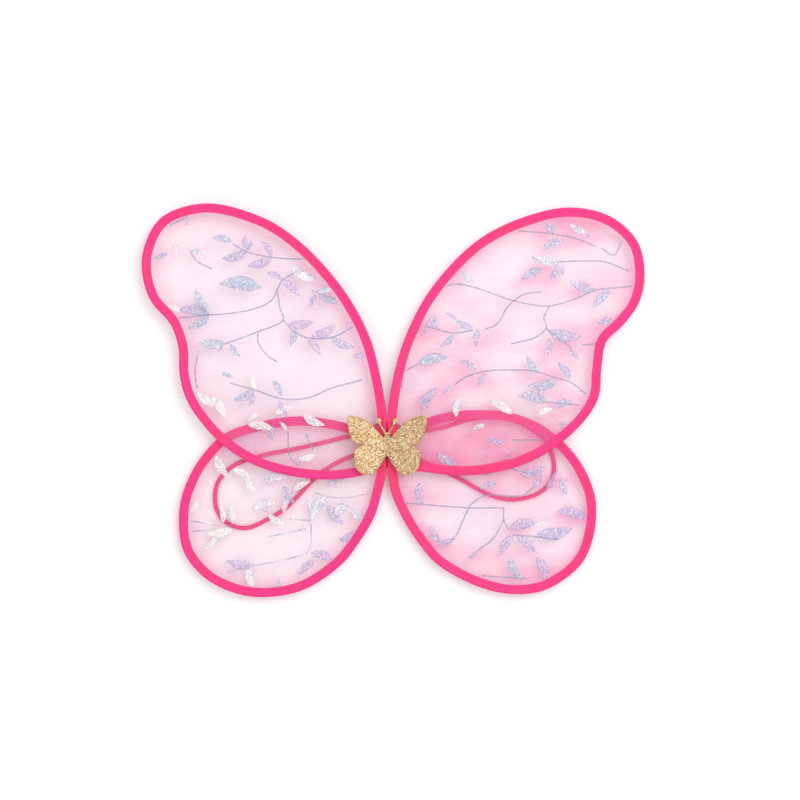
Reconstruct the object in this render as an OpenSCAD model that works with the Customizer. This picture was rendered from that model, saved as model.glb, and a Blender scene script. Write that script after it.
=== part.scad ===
// Child's fairy wings: four wire-framed sheer wings on a padded centre, with
// a glitter butterfly on the front and two elastic arm loops on the back.
// Lying face up: +Z is the decorated side, +Y the wearer's up, and the
// origin is the middle of the back pad's lower face.

/* [Wings] */
// Wing tip to wing tip across the upper wings
wing_span = 503; // [400:1:620]
// Height of a lower frame's centre line above the back pad's front face
frame_lift = 2.3; // [2.2:0.1:5]
// Height of an upper frame above the lower one
layer_gap = 4; // [3.9:0.1:6]
// Thickness of the sheer fabric
panel_t = 0.3; // [0.2:0.05:0.4]

/* [Wire frames] */
// Diameter of the frame wire
wire_d = 2; // [1.6:0.1:2.2]
// Wall of the crimped sleeve that joins a frame's two ends
ferrule_wall = 0.48; // [0.4:0.02:0.6]
// Length of the sleeve
ferrule_len = 16; // [16:0.5:18]
// Distance from the centre line to a frame's root
root_x = 2.2; // [2.2:0.05:3]

/* [Binding tape] */
// Finished width of the tape that covers a wire frame
tape_w = 9.2; // [7:0.1:11]
// Thickness of the folded tape round the wire
tape_wall = 0.5; // [0.4:0.05:0.6]
// Thickness of one layer of the tape beside the wire
tape_ply = 0.5; // [0.3:0.05:0.6]

/* [Centre] */
// Width of the back pad
pad_w = 34; // [28:1:40]
// Height of the back pad
pad_h = 46; // [44:1:60]
// Corner radius of the back pad
pad_r = 12; // [3:0.5:14]
// Thickness of the felt against the wearer
backing_t = 1; // [0.6:0.1:2]
// Thickness of the foam
foam_t = 4.8; // [4.7:0.1:8]
// Thickness of the felt on the front of the pad
cover_t = 0.8; // [0.5:0.1:1.5]
// Length of each keeper along the frames' roots
keeper_len = 4; // [2.5:0.5:4]
// Wall of a keeper ring and of a root wrap
wrap_wall = 0.45; // [0.4:0.05:0.5]
// Thickness of the web that holds the keepers to the pad
web_t = 0.8; // [0.4:0.1:1]

/* [Butterfly] */
// Width of the butterfly
butterfly_w = 79; // [60:1:90]
// Thickness of the glitter sheet
butterfly_t = 1.6; // [1:0.1:2.5]
// Thickness of the glue under it
glue_t = 0.5; // [0.3:0.1:1]

/* [Straps] */
// Diameter of the elastic cord
cord_d = 4.4; // [3:0.1:4.4]
// Depth of the pad sockets that hold the cord ends
socket_depth = 8; // [5:0.5:10]
// Distance from the pad's middle line to the upper cord ends
cord_end_y = 12; // [8:0.5:14]

/* [Hidden] */
$fn = 48;
curve_step = 10;       // longest piece of a sampled outline
cord_step = 8;         // longest piece of a sampled cord
run_gap = 0.05;        // radial clearance of a turning fit
slip_gap = 0.03;       // clearance of a piece that lies in a fold
panel_edge = 2.4;      // from the wire's middle to the edge of the fabric
root_gap = 1;          // between the sleeve and the start of the tape
straight_run = 0.3;    // straight wire past each end of the sleeve
wire_sides = 8;
cord_sides = 10;
fold_mouth = 30;       // half angle of the tape fold's opening
fold_turn = 50;        // angle between the fold's edges
keeper_gap = 0.5;      // from a keeper to the sleeve's end and to the root wrap
bridge_rise = 0.1;     // how far the keepers' bridge stands above their rings
bridge_overlap = 0.3;  // how far the bridge sinks into the rings
glue_inset = 0.7;      // from the frames' roots to the edge of the glue
cord_straight = [0.5, 3];  // points outside the pad where a cord is straight
nominal_span = 503;    // span at which the outlines below are drawn
lower_sleeve_top = 2.5;    // upper end of a lower frame's sleeve
sleeve_overhang = 1.5;     // of a lower sleeve below the end of the upper one

wire_r = wire_d / 2;
ferrule_r = wire_r + slip_gap + ferrule_wall;
turn_r = ferrule_r + run_gap;
wrap_r = turn_r + wrap_wall;
fold_r = (wire_r + slip_gap) / cos(fold_turn / 2);
bead_r = fold_r + tape_wall;
pad_t = backing_t + foam_t + cover_t;
lower_z = pad_t + frame_lift;
upper_z = lower_z + layer_gap;
keeper_y = ferrule_len / 2 - keeper_len / 2 - keeper_gap;
seat_z = upper_z + wrap_r + bridge_rise;
tape_start = ferrule_len / 2 + root_gap;
lower_ferrule_y = [-ferrule_len / 2 - sleeve_overhang, lower_sleeve_top];
span_scale = wing_span / nominal_span;

// ---------------------------------------------------------------- outlines
// Each outline is the wire's centre line outside the root, as seen on the
// left side: the right side's are mirrored into place. They run anticlockwise.

upper_left_line = [
    [-9, 72], [-19, 108], [-45, 155], [-89, 203], [-127, 227],
    [-182, 240], [-225, 226], [-242, 195], [-243, 170], [-235, 145],
    [-215, 121], [-207, 97], [-206, 72], [-200, 48], [-185, 24],
    [-163, 1], [-133, -18], [-98, -29], [-56, -33], [-26, -29]
];
upper_right_line = [
    [-9, 72], [-20, 108], [-45, 155], [-91, 203], [-139, 227],
    [-184, 236], [-223, 227], [-249, 203], [-256, 172], [-251, 144],
    [-235, 121], [-218, 104], [-213, 78], [-210, 48], [-196, 25],
    [-170, 1], [-141, -16], [-106, -26], [-70, -29], [-34, -25]
];
lower_left_line = [
    [-40, 20], [-64, 25], [-89, 27], [-121, 23], [-160, 11],
    [-185, -13], [-203, -48], [-207, -78], [-202, -107], [-183, -131],
    [-155, -146], [-125, -151], [-85, -144], [-47, -119], [-28, -95],
    [-14, -71], [-7, -48], [-4, -36]
];
lower_right_line = [
    [-40, 25], [-56, 30], [-79, 33], [-103, 33], [-123, 31],
    [-157, 17], [-189, -13], [-206, -48], [-208, -70], [-204, -96],
    [-193, -119], [-160, -143], [-130, -148], [-96, -142], [-52, -119],
    [-31, -95], [-16, -71], [-6, -48], [-3.5, -36]
];

// Root of a frame: a straight stretch beside the centre line, up to the tape,
// with the corner that leads into it.
function upper_root_out() = [[-root_x, -6], [-root_x, 0.3],
    [-root_x, tape_start], [-root_x, 31]];
function upper_root_in() = [[-13, -24], [-5, -17],
    [-root_x, -tape_start - 1], [-root_x, -ferrule_len / 2 - straight_run],
    [-root_x, -0.3], [-root_x, 6]];
function lower_root_out() = [[-root_x, -8], [-root_x, -3.3],
    [-root_x, lower_ferrule_y.y + straight_run], [-root_x, 3.6],
    [-4.5, 7.5], [-13, 11.5]];
function lower_root_in() = [[-root_x - 0.3, -28],
    [-root_x, -tape_start - 3],
    [-root_x, lower_ferrule_y.x - straight_run],
    [-root_x, -3.9], [-root_x, 2]];

// Half of the butterfly, from the notch below it to the side of its head.
butterfly_half = [
    [0, -10], [4, -16], [8, -22], [12.5, -27.5], [19.5, -29.5],
    [26.5, -27.5], [31, -22.5], [33, -14], [32.5, -6.5], [28.5, -2],
    [23.5, 0.5], [30.5, 2], [35.5, 7.5], [38.5, 17], [39.5, 25.5],
    [38.5, 29], [34.5, 29.5], [26, 27], [16.5, 21], [8.5, 13],
    [3, 7], [2.5, 9.5], [1.5, 12.5]
];
butterfly_nominal_w = 79;
antenna_root = [1.4, 11.6];
antenna_tip = [8.4, 24.5];
antenna_w = 1.8;
antenna_ball_r = 2.9;

// Cord routes outside the pad, on the surface that the wings lie on.
strap_left_route = [
    [-28, 10, 2.7], [-40, 8, 2.2], [-87, -3, 2.2], [-123, -10, 2.2],
    [-143, -16, 2.2], [-156, -22, 2.2], [-165, -30, 2.2],
    [-171, -40, 2.2], [-173, -53, 2.2], [-171, -66, 2.2],
    [-163, -77, 2.2], [-150, -83, 2.2], [-138, -83, 2.2],
    [-124, -77, 2.2], [-105, -66, 2.2], [-92, -54, 2.2],
    [-76, -37, 2.2], [-62, -25, 2.2], [-42, -14, 2.2], [-28, -10, 2.7]
];
strap_right_route = [
    [28, 13, 2.7], [44, 15, 2.2], [58, 18, 2.2], [82, 25, 2.2],
    [106, 28, 2.2], [128, 25, 2.2], [146, 15, 2.2], [158, 5, 2.2],
    [165, -7, 2.2], [168, -22, 2.2], [165, -36, 2.2],
    [155, -47, 2.2], [141, -53, 2.2], [123, -55, 2.2], [105, -51, 2.2],
    [92, -45, 2.2], [78, -37, 2.2], [64, -30, 2.2],
    [46, -21, 2.2], [28, -13, 2.7]
];

// --------------------------------------------------------------- functions
function reversed(v) = [for (i = [len(v) - 1:-1:0]) v[i]];
function knot(t, a, b) = t + pow(norm(b - a), 0.5);
function mix(a, b, ta, tb, t) = ((tb - t) * a + (t - ta) * b) / (tb - ta);

// A point on the smooth curve from b to c, where u runs from 0 to 1.
function on_span(a, b, c, d, u) =
    let(t0 = 0, t1 = knot(t0, a, b), t2 = knot(t1, b, c), t3 = knot(t2, c, d),
        t = t1 + u * (t2 - t1),
        p = mix(a, b, t0, t1, t), q = mix(b, c, t1, t2, t),
        r = mix(c, d, t2, t3, t))
    mix(mix(p, q, t0, t2, t), mix(q, r, t1, t3, t), t1, t2, t);

// A smooth curve through v; v's first and last points only guide its ends.
function smooth(v, step) = [
    for (i = [1:len(v) - 3])
        let(n = max(2, ceil(norm(v[i + 1] - v[i]) / step)))
        for (j = [0:n - 1]) on_span(v[i - 1], v[i], v[i + 1], v[i + 2], j / n),
    v[len(v) - 2]
];

function unit(v) = v / norm(v);
function heading(v, i) = unit(v[min(i + 1, len(v) - 1)] - v[max(i - 1, 0)]);

// The line v moved sideways: a positive d is towards its left.
function aside(v, d) = [
    for (i = [0:len(v) - 1])
        let(h = heading(v, i)) v[i] + d * [-h.y, h.x]
];
function at_height(v, z) = [for (p = v) [p.x, p.y, z]];

// A frame's control points, with only the outside scaled to the span.
function control(out, line, back) = concat(out, span_scale * line, back);
function upper_control(line) =
    control(upper_root_out(), line, upper_root_in());
function lower_control(line) =
    control(lower_root_out(), line, lower_root_in());

// The whole wire, and the stretch of it that the tape covers.
function wire_line(c) = smooth(c, curve_step);
function upper_tape_line(c) =
    smooth([for (i = [1:len(c) - 5]) c[i]], curve_step);
function lower_tape_line(c) =
    smooth([for (i = [4:len(c) - 3]) c[i]], curve_step);

// --------------------------------------------------------- general modules
// A closed solid with the same section all along the points v. The section's
// x is to the left of the way that v runs, and its y is up. Its points go
// round it, and each one in its first half faces one in its second half.
module sweep(v, section) {
    n = len(v);
    m = len(section);
    ring = [
        for (i = [0:n - 1])
            let(h = heading(v, i),
                left = unit(cross([0, 0, 1], h)),
                up = cross(h, left))
            for (s = section) v[i] + s.x * left + s.y * up
    ];
    skin = [
        for (i = [0:n - 2]) for (j = [0:m - 1])
            let(a = i * m + j, b = i * m + (j + 1) % m)
            each [[a, a + m, b], [b, a + m, b + m]]
    ];
    end = (n - 1) * m;
    first = [for (j = [0:m / 2 - 2]) [j, j + 1, m - 2 - j, m - 1 - j]];
    last = [for (f = first) [for (j = reversed(f)) end + j]];
    polyhedron(ring, concat(skin, first, last), convexity = 10);
}

function round_section(r, sides) =
    [for (j = [0:sides - 1])
        let(a = 360 * (j + 0.5) / sides) r * [cos(a), sin(a)]];

module slab(z, t) {
    translate([0, 0, z - t / 2]) linear_extrude(t) children();
}

// Extrudes a drawing of X and Z along Y, between y and y + len.
module along_y(y, len) {
    translate([0, y + len, 0]) rotate([90, 0, 0])
        linear_extrude(len) children();
}

module rounded_rect(w, h, r) {
    square([w, h - 2 * r], center = true);
    square([w - 2 * r, h], center = true);
    for (x = [-1, 1], y = [-1, 1])
        translate([x * (w / 2 - r), y * (h / 2 - r)]) circle(r);
}

module on_side(side) {
    if (side == "right") mirror([1, 0, 0]) children();
    else children();
}

// ------------------------------------------------------------ wing modules
module wire(c, z) {
    color("lightgray") sweep(at_height(wire_line(c), z), round_section(wire_r, wire_sides));
}

module ferrule(y, len, z) {
    color("silver") along_y(y, len) translate([-root_x, z])
        difference() {
            circle(ferrule_r);
            circle(wire_r + slip_gap);
        }
}

// The folded tape's section: a round fold behind the wire, and two plies that
// close on the fabric's edge.
function fold_arc(r) =
    [for (a = [fold_mouth:fold_turn:360 - fold_mouth]) r * [cos(a), sin(a)]];
function tape_section() =
    let(inner = tape_w - bead_r, slot = panel_t / 2 + slip_gap)
    concat([[inner, slot + tape_ply]], fold_arc(bead_r),
        [[inner, -slot - tape_ply], [inner, -slot]],
        reversed(fold_arc(fold_r)), [[inner, slot]]);

module binding(line, z) {
    color("hotpink") sweep(at_height(line, z), tape_section());
}

module panel(line, z) {
    color([1, 0.82, 0.9, 0.6]) slab(z, panel_t) polygon(aside(line, panel_edge));
}

// A band round both roots of one side: loose on the upper, tight on the lower.
module root_wrap() {
    wrap_len = 2 * (keeper_y - keeper_len / 2 - keeper_gap);
    color("deeppink") along_y(-wrap_len / 2, wrap_len)
        translate([-root_x, 0]) difference() {
            union() {
                translate([0, upper_z]) circle(wrap_r);
                translate([0, lower_z]) circle(wrap_r);
                translate([-wrap_r, lower_z]) square([2 * wrap_r, layer_gap]);
            }
            translate([0, upper_z]) circle(turn_r);
            translate([0, lower_z]) circle(ferrule_r);
        }
}

// ---------------------------------------------------------- centre modules
module pad_layer(z, t) {
    translate([0, 0, z]) linear_extrude(t) rounded_rect(pad_w, pad_h, pad_r);
}

cord_z = backing_t + foam_t / 2;

module pad_foam() {
    color("white") difference() {
        pad_layer(backing_t, foam_t);
        for (x = [-1, 1], y = [-1, 1])
            translate([x * pad_w / 2, y * cord_end_y, cord_z])
                rotate([0, x * 90, 0]) translate([0, 0, -socket_depth])
                cylinder(r = cord_d / 2 + run_gap / 2, h = socket_depth + 1);
    }
}

module spine_keepers() {
    bridge_z = upper_z + turn_r - bridge_overlap;
    color("deeppink") for (y = [-keeper_y, keeper_y])
        along_y(y - keeper_len / 2, keeper_len) difference() {
            union() {
                for (x = [-root_x, root_x])
                    translate([x, upper_z]) circle(wrap_r);
                translate([-web_t / 2, pad_t])
                    square([web_t, seat_z - pad_t]);
                translate([-root_x, bridge_z])
                    square([2 * root_x, seat_z - bridge_z]);
            }
            for (x = [-root_x, root_x])
                translate([x, upper_z]) circle(turn_r);
        }
}

module butterfly_glue() {
    half = root_x - glue_inset;
    color("ivory") translate([-half, -ferrule_len / 2, seat_z])
        cube([2 * half, ferrule_len, glue_t]);
}

module antenna() {
    d = antenna_tip - antenna_root;
    translate(antenna_root) rotate(atan2(d.y, d.x))
        translate([0, -antenna_w / 2]) square([norm(d), antenna_w]);
    translate(antenna_tip) circle(antenna_ball_r);
}

module butterfly() {
    half = butterfly_half;
    outline = concat(half, [for (p = reversed(half)) [-p.x, p.y]]);
    s = butterfly_w / butterfly_nominal_w;
    color("goldenrod") translate([0, 0, seat_z + glue_t])
        linear_extrude(butterfly_t) scale(s) {
            polygon(outline);
            antenna();
            mirror([1, 0]) antenna();
        }
}

module strap(route, side) {
    face = side * pad_w / 2;
    deep = face - side * socket_depth;
    out = [for (d = cord_straight) face + side * d];
    ends = [for (x = concat(deep, out)) [x, cord_end_y, cord_z]];
    down = [for (p = reversed(ends)) [p.x, -p.y, p.z]];
    guide = [side * 20, 0, 0];
    line = concat([ends[0] - guide], ends, route, down, [down[2] - guide]);
    color("hotpink") sweep(smooth(line, cord_step), round_section(cord_d / 2, cord_sides));
}

// ------------------------------------------------------------------- wings
module upper_wing(side, line, piece) {
    c = upper_control(line);
    on_side(side) {
        if (piece == "wire") wire(c, upper_z);
        if (piece == "ferrule")
            ferrule(-ferrule_len / 2, ferrule_len, upper_z);
        if (piece == "binding") binding(upper_tape_line(c), upper_z);
        if (piece == "panel") panel(upper_tape_line(c), upper_z);
    }
}

module lower_wing(side, line, piece) {
    c = lower_control(line);
    on_side(side) {
        if (piece == "wire") wire(c, lower_z);
        if (piece == "ferrule")
            ferrule(lower_ferrule_y.x, lower_ferrule_y.y - lower_ferrule_y.x,
                lower_z);
        if (piece == "binding") binding(lower_tape_line(c), lower_z);
        if (piece == "panel") panel(lower_tape_line(c), lower_z);
        if (piece == "wrap") root_wrap();
    }
}

// ------------------------------------------------------------------- parts
color("hotpink") pad_layer(0, backing_t);  // pad_backing
pad_foam();
color("hotpink") pad_layer(backing_t + foam_t, cover_t);  // pad_cover
spine_keepers();
butterfly_glue();
butterfly();
strap(strap_left_route, -1);  // strap_left
strap(strap_right_route, 1);  // strap_right

lower_wing("left", lower_left_line, "wire");  // lower_left_wire
lower_wing("left", lower_left_line, "ferrule");  // lower_left_ferrule
lower_wing("left", lower_left_line, "binding");  // lower_left_binding
lower_wing("left", lower_left_line, "panel");  // lower_left_panel
lower_wing("left", lower_left_line, "wrap");  // root_wrap_left
upper_wing("left", upper_left_line, "wire");  // upper_left_wire
upper_wing("left", upper_left_line, "ferrule");  // upper_left_ferrule
upper_wing("left", upper_left_line, "binding");  // upper_left_binding
upper_wing("left", upper_left_line, "panel");  // upper_left_panel

lower_wing("right", lower_right_line, "wire");  // lower_right_wire
lower_wing("right", lower_right_line, "ferrule");  // lower_right_ferrule
lower_wing("right", lower_right_line, "binding");  // lower_right_binding
lower_wing("right", lower_right_line, "panel");  // lower_right_panel
lower_wing("right", lower_right_line, "wrap");  // root_wrap_right
upper_wing("right", upper_right_line, "wire");  // upper_right_wire
upper_wing("right", upper_right_line, "ferrule");  // upper_right_ferrule
upper_wing("right", upper_right_line, "binding");  // upper_right_binding
upper_wing("right", upper_right_line, "panel");  // upper_right_panel
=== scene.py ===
"""Looks of the child's fairy wings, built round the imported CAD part.

Everything is in metres in the part's own frame: X from wing to wing, Y up the
wearer's back, Z out of the decorated side.
"""

import math

import bpy
import numpy as np
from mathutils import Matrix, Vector, noise
from mathutils.bvhtree import BVHTree
from mathutils.geometry import delaunay_2d_cdt


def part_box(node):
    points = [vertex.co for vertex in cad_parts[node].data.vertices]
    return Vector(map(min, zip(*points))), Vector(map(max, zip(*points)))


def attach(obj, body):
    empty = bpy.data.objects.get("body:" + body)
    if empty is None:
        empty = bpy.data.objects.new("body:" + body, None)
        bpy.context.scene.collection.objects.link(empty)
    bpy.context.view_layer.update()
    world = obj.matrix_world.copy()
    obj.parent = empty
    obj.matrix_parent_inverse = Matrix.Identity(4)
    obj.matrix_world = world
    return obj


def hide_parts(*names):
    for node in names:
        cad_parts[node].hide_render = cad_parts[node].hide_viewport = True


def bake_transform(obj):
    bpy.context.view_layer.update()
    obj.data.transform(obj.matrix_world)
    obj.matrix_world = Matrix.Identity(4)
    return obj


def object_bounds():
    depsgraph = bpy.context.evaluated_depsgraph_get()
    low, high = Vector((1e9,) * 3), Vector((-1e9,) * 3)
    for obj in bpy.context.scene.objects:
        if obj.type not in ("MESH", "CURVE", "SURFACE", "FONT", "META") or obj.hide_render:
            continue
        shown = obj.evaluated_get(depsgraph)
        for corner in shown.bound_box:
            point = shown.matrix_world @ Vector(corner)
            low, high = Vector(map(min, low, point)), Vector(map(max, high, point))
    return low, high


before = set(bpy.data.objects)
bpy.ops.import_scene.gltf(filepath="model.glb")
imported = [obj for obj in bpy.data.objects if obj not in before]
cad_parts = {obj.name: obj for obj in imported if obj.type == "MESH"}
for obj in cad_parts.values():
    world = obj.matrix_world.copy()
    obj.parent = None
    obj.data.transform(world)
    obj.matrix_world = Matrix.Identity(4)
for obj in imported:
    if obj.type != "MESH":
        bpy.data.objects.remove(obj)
cad_box = [list(corner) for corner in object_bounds()]

MM = 0.001
SIDES = ("left", "right")
SIGN = {"left": -1, "right": 1}
WINGS = ("upper_left", "lower_left", "upper_right", "lower_right")

# ------------------------------------------------------------ camera, light
VIEW_WIDTH = 0.8
VIEW_CENTRE = (0.013, 0.045)
LENS = 85
SENSOR = 36
SKY = 0.89
FLOOR_HALF = 6.0
FLOOR_DROP = 0.2 * MM

# Each light's name, place, size and watts.
LIGHTS = (
    ("key", (0.9, 0.9, 1.7), 1.4, 15),
    ("fill", (-1.3, -0.9, 1.8), 1.8, 5),
    ("glint", (0.5, 0.0, 2.0), 0.16, 1.5),
)


def camera():
    """Straight above the wings, which lie on their back."""
    data = bpy.data.cameras.new("camera")
    data.lens = LENS
    data.sensor_width = SENSOR
    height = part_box("upper_left_panel")[1][2] + VIEW_WIDTH * LENS / SENSOR
    obj = bpy.data.objects.new("camera", data)
    obj.location = (*VIEW_CENTRE, height)
    bpy.context.scene.collection.objects.link(obj)
    bpy.context.scene.camera = obj


def area_light(name, place, size, watts):
    data = bpy.data.lights.new(name, "AREA")
    data.shape = "DISK"
    data.size = size
    data.energy = watts
    obj = bpy.data.objects.new(name, data)
    obj.location = place
    aim = Vector((*VIEW_CENTRE, 0)) - Vector(place)
    obj.rotation_euler = aim.to_track_quat("-Z", "Y").to_euler()
    bpy.context.scene.collection.objects.link(obj)


def studio():
    """A pale floor under a white sky, a soft light from the upper right, a weaker one and a small glint."""
    scene = bpy.context.scene
    scene.view_settings.view_transform = "Standard"
    world = bpy.data.worlds.new("studio")
    world.use_nodes = True
    background = world.node_tree.nodes["Background"]
    background.inputs["Color"].default_value = (1.0, 1.0, 1.0, 1)
    background.inputs["Strength"].default_value = SKY
    scene.world = world
    for light in LIGHTS:
        area_light(*light)
    mesh = bpy.data.meshes.new("floor")
    corners = [(x * FLOOR_HALF, y * FLOOR_HALF, 0) for x, y in ((-1, -1), (1, -1), (1, 1), (-1, 1))]
    mesh.from_pydata(corners, [], [(0, 1, 2, 3)])
    floor = bpy.data.objects.new("floor", mesh)
    scene.collection.objects.link(floor)
    floor.location.z = cad_box[0][2] - FLOOR_DROP
    mesh.materials.append(floor_paper())


# ---------------------------------------------------------------- materials
class Shader:
    """A material's nodes, made one call at a time."""

    def __init__(self, name, roughness=0.5):
        self.material = bpy.data.materials.new(name)
        self.material.use_nodes = True
        self.tree = self.material.node_tree
        self.surface = self.tree.nodes["Principled BSDF"]
        self.surface.inputs["Roughness"].default_value = roughness

    def node(self, kind, inputs=(), **settings):
        made = self.tree.nodes.new(kind)
        for key, value in settings.items():
            setattr(made, key, value)
        for key, value in dict(inputs).items():
            self.put(made.inputs[key], value)
        return made

    def put(self, socket, value):
        if isinstance(value, bpy.types.NodeSocket):
            self.tree.links.new(value, socket)
        else:
            socket.default_value = value

    def set(self, **values):
        for key, value in values.items():
            self.put(self.surface.inputs[key.replace("_", " ")], value)

    def place(self):
        return self.node("ShaderNodeTexCoord").outputs["Object"]

    def stored(self, name):
        """The three numbers of an attribute that a mesh stores."""
        vector = self.node("ShaderNodeAttribute", attribute_name=name).outputs["Vector"]
        return self.node("ShaderNodeSeparateXYZ", {"Vector": vector}).outputs

    def noise(self, place, scale, detail=2.0):
        inputs = {"Vector": place, "Scale": scale, "Detail": detail}
        return self.node("ShaderNodeTexNoise", inputs).outputs["Fac"]

    def cells(self, place, scale, output="Color"):
        inputs = {"Vector": place, "Scale": scale}
        return self.node("ShaderNodeTexVoronoi", inputs).outputs[output]

    def flakes(self, place, scale):
        """Three numbers from 0 to 1 that are fixed over each small cell."""
        return self.node("ShaderNodeSeparateColor", {"Color": self.cells(place, scale)}).outputs

    def stretched(self, place, *scale):
        return self.node("ShaderNodeMapping", {"Vector": place, "Scale": scale}).outputs[0]

    def maths(self, operation, a, b=0.0, clamp=False):
        made = self.node("ShaderNodeMath", operation=operation, use_clamp=clamp)
        self.put(made.inputs[0], a)
        self.put(made.inputs[1], b)
        return made.outputs[0]

    def plus(self, a, b, clamp=False):
        return self.maths("ADD", a, b, clamp)

    def times(self, a, b, clamp=False):
        return self.maths("MULTIPLY", a, b, clamp)

    def span(self, value, low, high, to_low=0.0, to_high=1.0):
        inputs = {"Value": value, "From Min": low, "From Max": high, "To Min": to_low, "To Max": to_high}
        return self.node("ShaderNodeMapRange", inputs).outputs[0]

    def mix(self, share, a, b, blend="MIX"):
        made = self.node("ShaderNodeMix", data_type="RGBA", blend_type=blend)
        colour = [s for s in made.inputs if s.type == "RGBA"]
        self.put(made.inputs["Factor"], share)
        self.put(colour[0], a)
        self.put(colour[1], b)
        return [s for s in made.outputs if s.type == "RGBA"][0]

    def grade(self, value, *stops):
        made = self.node("ShaderNodeValToRGB", {"Fac": value})
        ramp = made.color_ramp
        while len(ramp.elements) < len(stops):
            ramp.elements.new(0.5)
        for element, (at, colour) in zip(ramp.elements, stops):
            element.position = at
            element.color = colour
        return made.outputs["Color"]

    def bump(self, height, depth, strength=1.0):
        inputs = {"Height": height, "Distance": depth, "Strength": strength}
        self.set(Normal=self.node("ShaderNodeBump", inputs).outputs[0])


def rgb(red, green, blue):
    """A colour from its usual 0 to 255 levels, as the linear light that shaders take."""
    level = [c / 255 for c in (red, green, blue)]
    return (*[c / 12.92 if c <= 0.04045 else ((c + 0.055) / 1.055) ** 2.4 for c in level], 1)


def woven(shader, threads, place):
    """Height of a plain weave with this many threads to the millimetre, where place is in millimetres."""
    split = shader.node("ShaderNodeSeparateXYZ", {"Vector": place}).outputs
    turn = threads * math.pi
    across = shader.maths("SINE", shader.times(split[0], turn))
    along = shader.maths("SINE", shader.times(split[1], turn))
    return shader.maths("MULTIPLY_ADD", shader.times(across, along), 0.5)


def floor_paper():
    shader = Shader("floor_paper", 0.9)
    tone = shader.noise(shader.place(), 3.0)
    shader.set(Base_Color=shader.grade(tone, (0.3, rgb(243, 243, 244)), (0.7, rgb(245, 245, 246))))
    return shader.material


def satin_tape():
    """Hot-pink bias binding: fine twill, a soft shine, faint uneven dye, and a redder tint near the middle.
    """
    shader = Shader("satin_tape", 0.46)
    place = shader.place()
    drift = shader.noise(place, 14.0, 3.0)
    pink = shader.grade(drift, (0.3, rgb(226, 45, 128)), (0.5, rgb(232, 47, 124)), (0.72, rgb(238, 50, 112)))
    # Redder towards the middle of the wings.
    centre = shader.node("ShaderNodeVectorMath", {0: place}, operation="LENGTH").outputs["Value"]
    coral = shader.span(centre, 0.012, 0.05, 0.75, 0.0)
    pink = shader.mix(coral, pink, rgb(244, 52, 78))
    along, across, _ = shader.stored("weave")
    slant = shader.plus(along, across)
    twill = shader.maths("SINE", shader.times(slant, 7.5))
    fuzz = shader.noise(place, 2600.0, 2.0)
    # Lighter on the twill's ridges and darker in its grooves: painted light and shade. The fuzz adds random
    # tone.
    rib = shader.span(twill, -1, 1, 0.93, 1.03)
    shade = shader.plus(rib, shader.span(fuzz, 0.3, 0.7, -0.03, 0.03))
    shader.set(Base_Color=shader.mix(1.0, pink, shade, "MULTIPLY"))
    shader.set(Roughness=shader.span(fuzz, 0.3, 0.7, 0.4, 0.58))
    shader.set(Sheen_Weight=0.25, Sheen_Roughness=0.4, Specular_IOR_Level=0.35)
    shader.set(Sheen_Tint=rgb(255, 190, 215))
    shader.bump(shader.plus(shader.span(twill, -1, 1), fuzz), 0.00004, 0.6)
    return shader.material


def thread():
    """Twisted polyester sewing thread."""
    shader = Shader("thread", 0.4)
    along = shader.stored("weave")[0]
    twist = shader.maths("SINE", shader.times(along, 14.0))
    # Lighter on the plies and darker in the twist's grooves: painted light and shade.
    colour = shader.grade(shader.span(twist, -1, 1), (0.1, rgb(226, 44, 110)), (0.9, rgb(252, 96, 152)))
    shader.set(Base_Color=colour, Sheen_Weight=0.2)
    shader.bump(twist, 0.00003)
    return shader.material


def sheer_organza():
    """Sheer pale-pink cloth: thin threads with clear gaps, pinker in cloudy patches, and denser where it
    gathers at its edge, where it is also pinker as painted shade and pink reflected from the tape. The
    cover attribute holds how near the edge a point is, its share of blush, and its share of painted
    shade and bounced pink where a side's two wings overlap."""
    shader = Shader("sheer_organza", 0.42)
    place = shader.place()
    edge, blush, painted_overlap = shader.stored("cover")
    cloud = shader.noise(place, 16.0, 3.0)
    streak = shader.noise(place, 60.0, 4.0)
    wisp = shader.noise(shader.stretched(place, 0.55, 1.25, 1.0), 38.0, 4.0)
    millimetres = shader.node("ShaderNodeVectorMath", {0: place, "Scale": 1000.0}, operation="SCALE")
    weave = woven(shader, 2.2, millimetres.outputs[0])
    patch = shader.times(blush, shader.span(wisp, 0.4, 0.6, 0.1, 1.2), clamp=True)
    hue = shader.grade(
        cloud, (0.3, rgb(242, 152, 190)), (0.5, rgb(234, 150, 192)), (0.7, rgb(224, 154, 204)))
    hue = shader.mix(shader.span(wisp, 0.42, 0.3, 0.0, 0.4), hue, rgb(238, 200, 224))
    # Pinker near the tape: painted shade and pink reflected from the tape, where the gathered cloth is also
    # denser.
    hue = shader.mix(shader.times(edge, 0.6), hue, rgb(250, 134, 188))
    hue = shader.mix(shader.times(patch, 0.75), hue, rgb(248, 92, 164))
    # Pinker where a side's wings overlap: painted shade and pink light bounced between the sheets.
    hue = shader.mix(shader.times(painted_overlap, 0.8), hue, rgb(255, 112, 168))
    shader.set(Base_Color=hue)
    cover = shader.span(streak, 0.3, 0.7, 0.12, 0.18)
    cover = shader.plus(cover, shader.times(edge, 0.1))
    cover = shader.plus(cover, shader.times(patch, 0.18))
    cover = shader.plus(cover, shader.times(painted_overlap, 0.03))
    cover = shader.plus(cover, shader.span(weave, 0, 1, -0.03, 0.03))
    shader.set(Alpha=cover)
    shader.set(Sheen_Weight=0.15, Sheen_Roughness=0.3, Specular_IOR_Level=0.2)
    shader.bump(shader.plus(weave, streak), 0.00003, 0.4)
    return shader.material


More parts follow.
